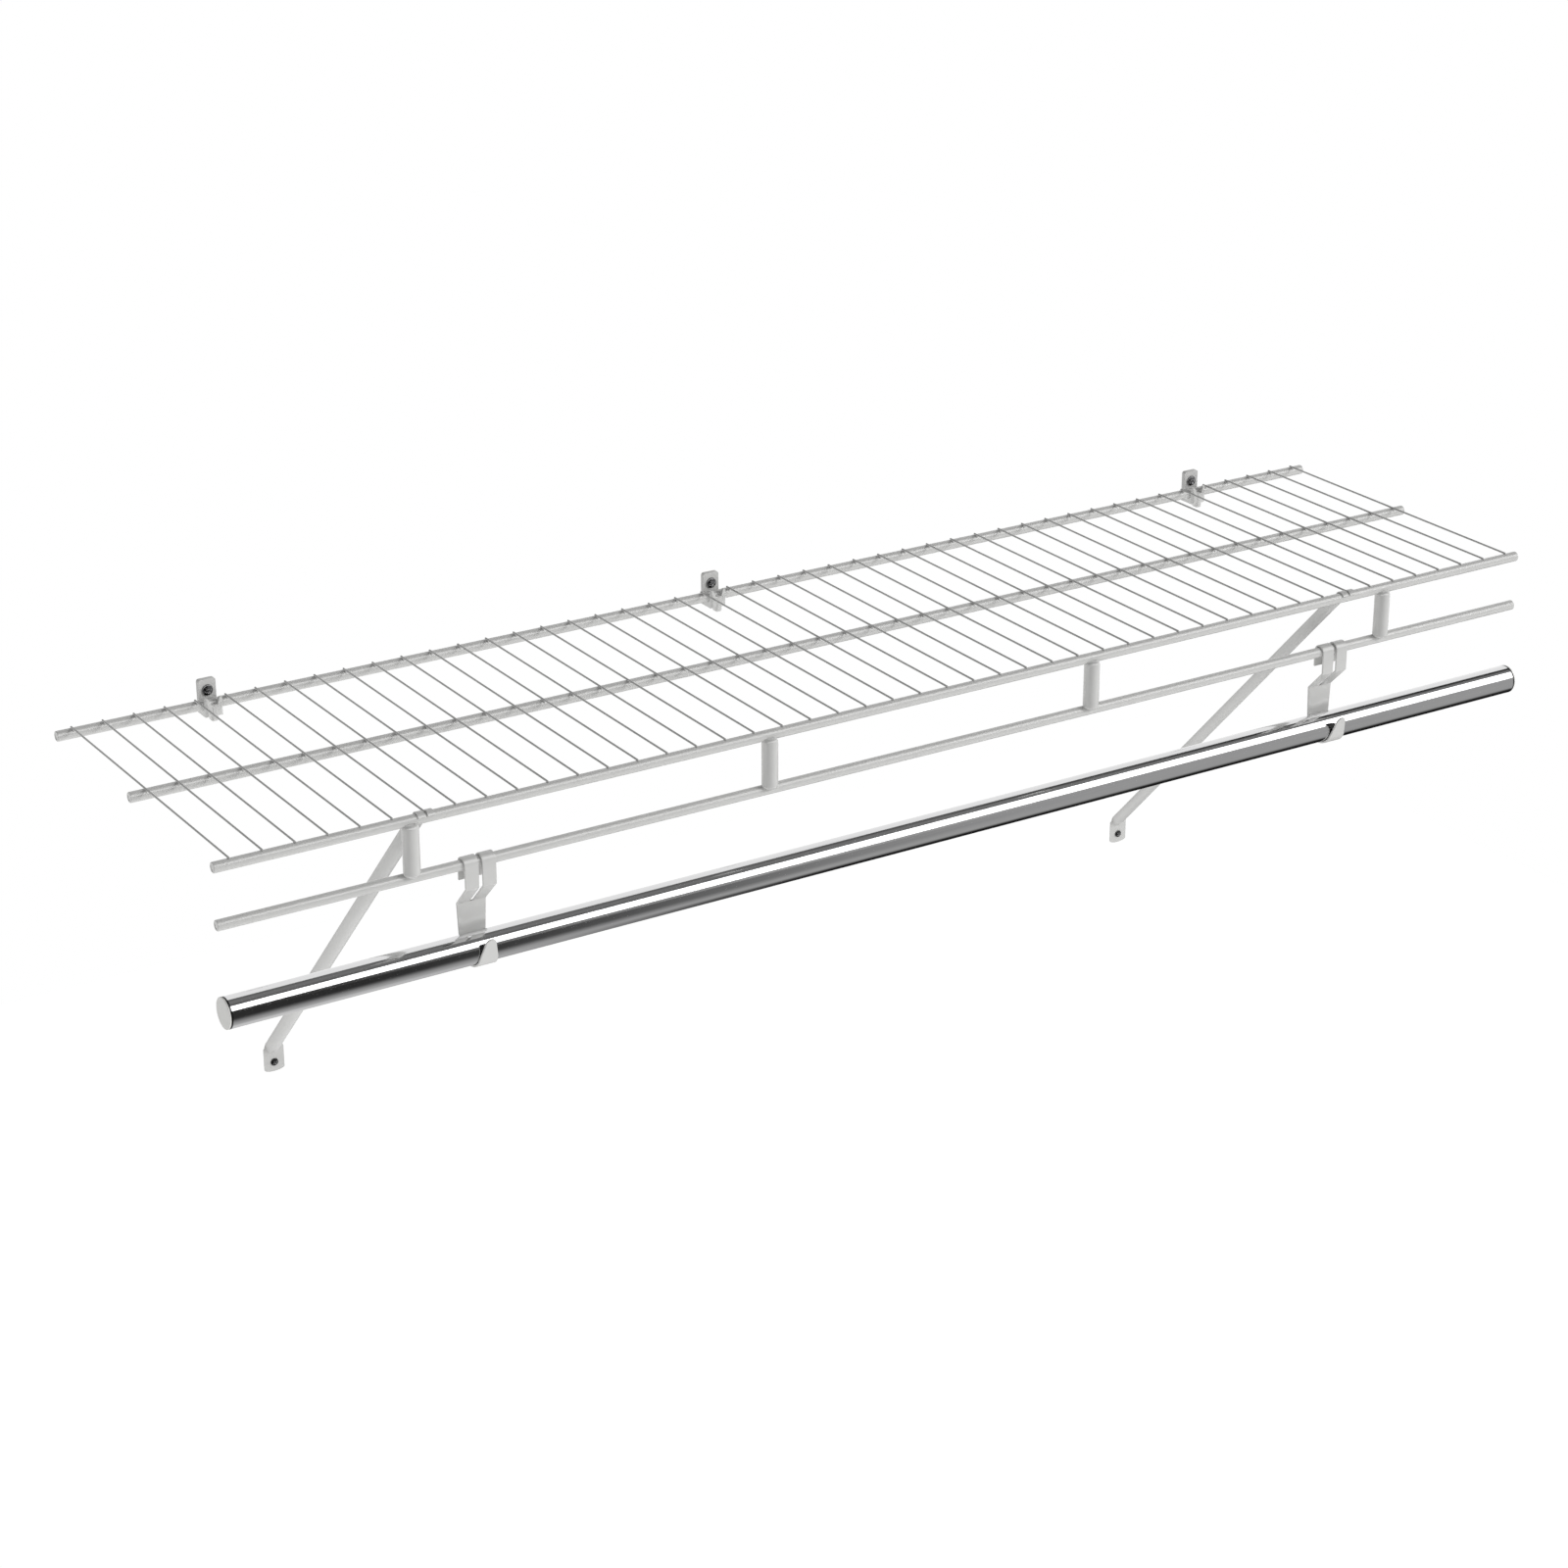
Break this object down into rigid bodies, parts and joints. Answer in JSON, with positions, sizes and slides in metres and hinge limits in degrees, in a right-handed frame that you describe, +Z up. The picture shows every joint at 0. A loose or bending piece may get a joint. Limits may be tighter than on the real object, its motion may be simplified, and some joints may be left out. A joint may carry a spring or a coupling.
{
  "type": "wall-mounted closet shelf",
  "caption": "Ventilated wire closet shelf with a lower rail, diagonal wall braces, rear wall clips and a chrome hanging rod carried in sliding strap hooks.",
  "frame": {"origin": "on the wall face of the middle wall clip, at the height of the rear rail's axis", "axes": "+X along the shelf to the right as seen from the room, +Y into the wall, +Z up"},
  "size_m": [1.2192, 0.3158, 0.3532],
  "materials": {
    "coated_steel": "grey-white epoxy coat, satin",
    "coated_strap": "grey-white epoxy coat on bent strap, satin",
    "clip_plastic": "moulded white nylon, satin",
    "screw_steel": "bright zinc-plated steel",
    "rod_chrome": "polished chrome plate",
    "cap_plastic": "moulded light grey plastic, satin"
  },
  "bodies": {
    "shelf": {"rear_rail": "coated_steel", "front_rail": "coated_steel", "lower_rail": "coated_steel", "wire_deck": "coated_steel", "post_1": "coated_steel", "post_2": "coated_steel", "post_3": "coated_steel", "post_4": "coated_steel", "wall_clip_left": "clip_plastic", "wall_clip_middle": "clip_plastic", "wall_clip_right": "clip_plastic", "clip_screw_left": "screw_steel", "clip_screw_middle": "screw_steel", "clip_screw_right": "screw_steel", "brace_left": "coated_steel", "brace_right": "coated_steel", "brace_screw_left": "screw_steel", "brace_screw_right": "screw_steel"},
    "hook_left": {"rod_hook_left": "coated_strap"},
    "hook_right": {"rod_hook_right": "coated_strap"},
    "closet_rod": {"closet_rod_tube": "rod_chrome", "rod_cap_left": "cap_plastic", "rod_cap_right": "cap_plastic"}
  },
  "joints": [
    {"name": "hook_left_slide", "type": "slide", "parent": "shelf", "child": "hook_left", "axis": [1, 0, 0], "range_m": [-0.0343, 0.2311]},
    {"name": "hook_right_slide", "type": "slide", "parent": "shelf", "child": "hook_right", "axis": [1, 0, 0], "range_m": [-0.2342, 0.0312]},
    {"name": "rod_slide", "type": "slide", "parent": "shelf", "child": "closet_rod", "axis": [1, 0, 0], "range_m": [-0.15, 0.15]}
  ]
}
